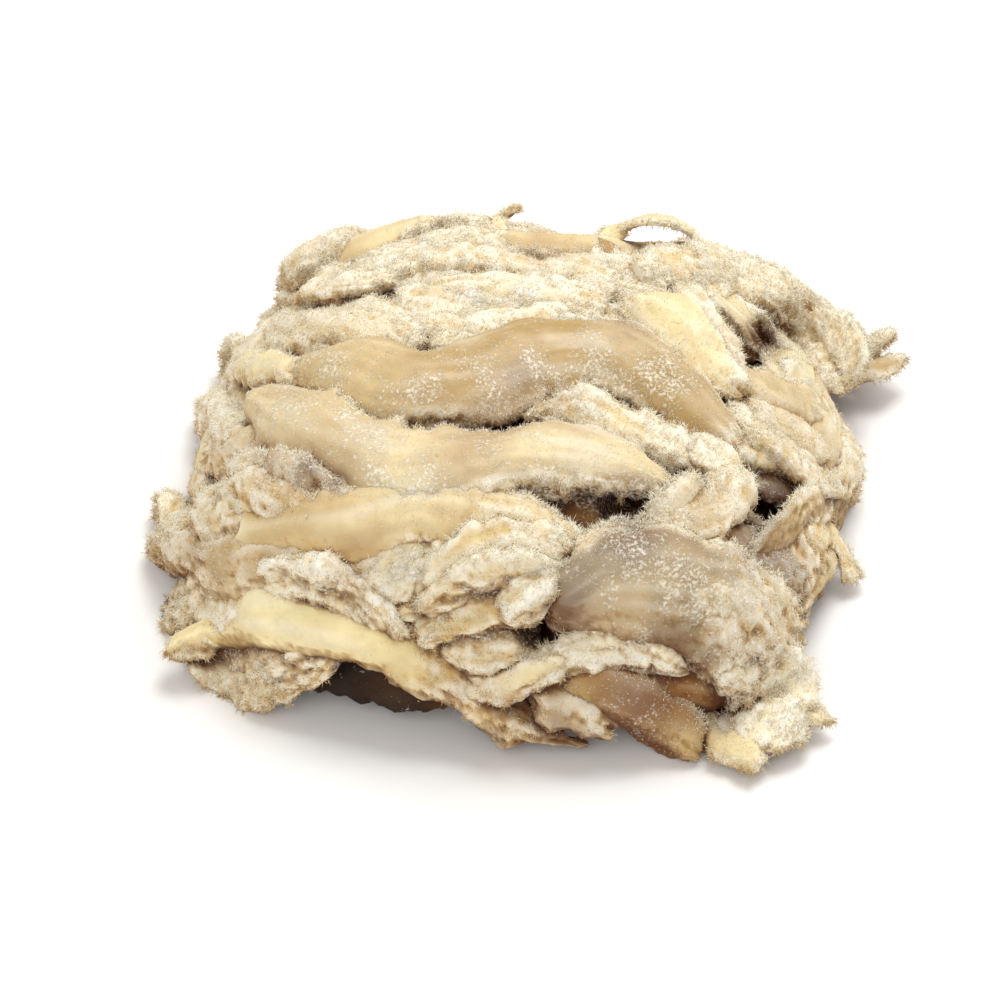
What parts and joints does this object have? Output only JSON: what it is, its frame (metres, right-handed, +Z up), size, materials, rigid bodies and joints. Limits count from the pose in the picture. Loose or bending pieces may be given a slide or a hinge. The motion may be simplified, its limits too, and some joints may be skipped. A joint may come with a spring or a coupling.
{
  "type": "shredded salted pollock",
  "caption": "Loose heap of torn, dried and salted pollock strips, cream to amber with fuzzy fibrous edges, lying as served on a flat surface.",
  "frame": {"origin": "on the surface that the heap lies on, under the middle of its box", "axes": "+Z up out of the surface; +X along the heap's longer side, to the right as seen from the front; the front faces -Y"},
  "size_m": [0.2371, 0.2043, 0.0774],
  "materials": {
    "dried_fish": "dry, fibrous fish flesh, matt and fuzzy where it is torn, smoother and slightly waxy on the skin side of the broad strips, dusted with salt"
  },
  "bodies": {
    "root": {"pollock_heap": "dried_fish"}
  },
  "joints": []
}
